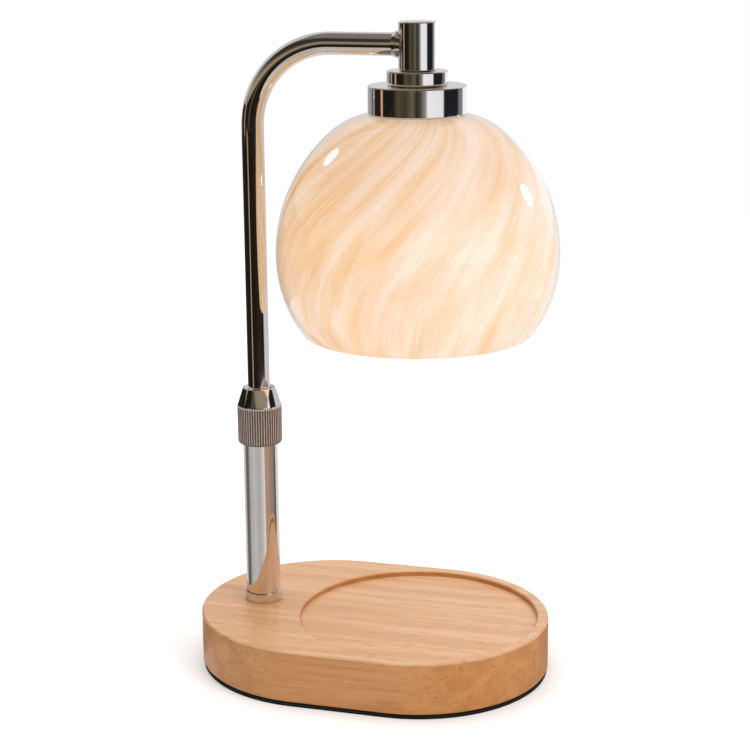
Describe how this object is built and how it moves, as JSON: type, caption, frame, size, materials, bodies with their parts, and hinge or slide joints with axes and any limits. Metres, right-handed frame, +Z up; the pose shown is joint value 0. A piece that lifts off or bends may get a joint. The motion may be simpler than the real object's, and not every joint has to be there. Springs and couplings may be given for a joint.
{
  "type": "candle warmer lamp",
  "caption": "Lamp that melts a jar candle from above: wooden base with a jar recess, telescoping post with a knurled clamp, bent arm and a glass globe shade.",
  "frame": {"origin": "middle of the underside of the pad under the base", "axes": "+Z up; X along the base, with the post near the -X end and the jar recess and shade near the +X end; +Y is the rear side, where the cord enters"},
  "size_m": [0.1657, 0.1254, 0.2963],
  "materials": {
    "beech_wood": "satin lacquer",
    "black_foam_rubber": "matte",
    "zinc_steel": "zinc plated",
    "polished_chrome": "polished",
    "smoked_chrome": "polished dark",
    "brass": "turned",
    "white_nylon": "matte",
    "black_nylon": "matte",
    "black_sheath": "soft",
    "amber_glass": "glossy, cased",
    "clear_glass": "glossy",
    "mirror_glass": "mirrored inside",
    "ceramic": "matte glazed",
    "silicone": "matte"
  },
  "bodies": {
    "base": {"wood_base": "beech_wood", "base_pad": "black_foam_rubber", "base_plate": "zinc_steel", "base_plate_screws": "zinc_steel", "cord_grommet": "black_nylon", "crimp_caps": "white_nylon", "base_lead": "black_sheath", "foot_ring": "polished_chrome", "outer_tube": "polished_chrome", "tube_foot_plug": "brass", "post_stud": "zinc_steel", "stud_washer": "zinc_steel", "stud_nut": "zinc_steel", "collet_body": "brass"},
    "slider": {"guide_bush": "white_nylon"},
    "arm": {"bush_clips": "zinc_steel", "arm_tube": "smoked_chrome", "arm_ferrule": "smoked_chrome", "arm_lead": "black_sheath", "tee_hub": "smoked_chrome", "neck_disc": "smoked_chrome", "shade_cap": "smoked_chrome", "head_nipple": "zinc_steel", "lampholder_cover": "black_nylon", "lampholder_body": "ceramic", "holder_contacts": "brass", "holder_screws": "zinc_steel", "upper_gasket": "silicone", "lower_gasket": "silicone", "shade_ring": "black_nylon", "glass_shade": "amber_glass", "bulb_base": "ceramic", "bulb_pins": "zinc_steel", "bulb_reflector": "mirror_glass", "bulb_lens": "clear_glass", "bulb_capsule": "clear_glass"},
    "clamp": {"clamp_ring": "brass"},
    "nut": {"knurled_nut": "polished_chrome"}
  },
  "joints": [
    {"name": "arm_slide", "type": "slide", "parent": "base", "child": "slider", "axis": [0, 0, 1], "range_m": [-0.025, 0.0195]},
    {"name": "arm_swivel", "type": "hinge", "parent": "slider", "child": "arm", "pos_m": [-0.0544, 0, 0.068], "axis": [0, 0, 1], "range_deg": [-120, 120]},
    {"name": "clamp_lift", "type": "slide", "parent": "base", "child": "clamp", "axis": [0, 0, 1], "range_m": [0, 0.001]},
    {"name": "clamp_nut_turn", "type": "hinge", "parent": "clamp", "child": "nut", "pos_m": [-0.0544, 0, 0.116], "axis": [0, 0, 1], "range_deg": [0, 366]}
  ],
  "couplings": [
    {"joint": "clamp_nut_turn", "follows": "clamp_lift", "rad_per_m": 6283}
  ]
}
